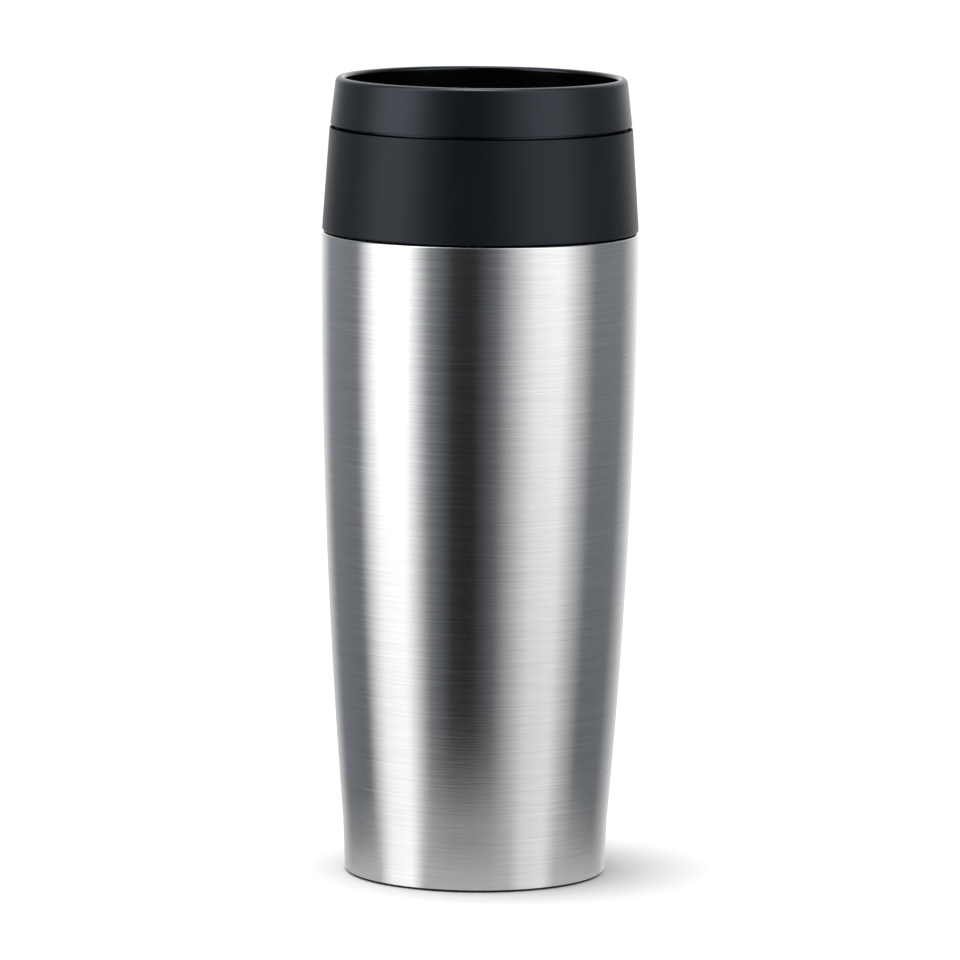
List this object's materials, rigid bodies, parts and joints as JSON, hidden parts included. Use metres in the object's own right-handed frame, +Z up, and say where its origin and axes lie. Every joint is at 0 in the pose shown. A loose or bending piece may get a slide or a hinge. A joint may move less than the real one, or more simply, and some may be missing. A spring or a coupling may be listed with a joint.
{
  "type": "insulated travel mug",
  "caption": "Double-wall vacuum travel mug with a screw-in lid that pours all round its lip when the button in the middle is pressed.",
  "frame": {"origin": "middle of the foot, on the surface the mug stands on", "axes": "+Z up along the mug's axis, -Y towards the lid's latch bay"},
  "size_m": [0.0802, 0.0802, 0.203],
  "materials": {
    "brushed_steel": "fine brushing round the body",
    "liner_steel": "electropolished, satin",
    "spring_steel": "bright drawn",
    "sealing_alloy": "dull sintered",
    "soft_touch_black": "satin soft-touch",
    "rim_black": "semi-gloss",
    "inner_plastic": "moulded satin",
    "black_silicone": "matt",
    "grey_silicone": "matt"
  },
  "bodies": {
    "vessel": {"outer_shell": "brushed_steel", "inner_liner": "liner_steel", "outer_base_disc": "liner_steel", "vacuum_seal": "sealing_alloy", "getter_tablet": "sealing_alloy", "getter_strap": "liner_steel", "anti_slip_foot": "black_silicone"},
    "gasket": {"lid_gasket": "grey_silicone"},
    "lid": {"lid_collar": "soft_touch_black", "drinking_rim": "rim_black", "lid_plug": "inner_plastic", "rim_seal": "grey_silicone", "valve_housing": "inner_plastic", "stem_seal": "grey_silicone", "seal_retainer": "spring_steel", "latch_cover": "inner_plastic", "return_spring": "spring_steel"},
    "button": {"button_cap": "soft_touch_black", "button_inlay": "rim_black", "valve_stem": "inner_plastic", "valve_disc": "inner_plastic", "valve_seal": "grey_silicone", "valve_screw": "spring_steel"},
    "latch": {"latch_pin": "spring_steel"}
  },
  "joints": [
    {"name": "lid_lift", "type": "slide", "parent": "vessel", "child": "gasket", "axis": [0, 0, 1], "range_m": [0, 0.0261]},
    {"name": "lid_turn", "type": "hinge", "parent": "gasket", "child": "lid", "pos_m": [0, 0, 0.18], "axis": [0, 0, 1], "range_deg": [0, 720]},
    {"name": "button_press", "type": "slide", "parent": "lid", "child": "button", "axis": [0, 0, -1], "range_m": [0, 0.006], "stiffness_N_per_m": 500, "springref_m": -0.008, "deforming": ["return_spring"]},
    {"name": "latch_swing", "type": "hinge", "parent": "lid", "child": "latch", "pos_m": [0, -0.0187, 0.171], "axis": [0, 1, 0], "range_deg": [0, 8.6]}
  ],
  "couplings": [
    {"joint": "lid_lift", "follows": "lid_turn", "m_per_rad": 0.002069},
    {"joint": "latch_swing", "follows": "button_press", "rad_per_m": 24.7}
  ]
}
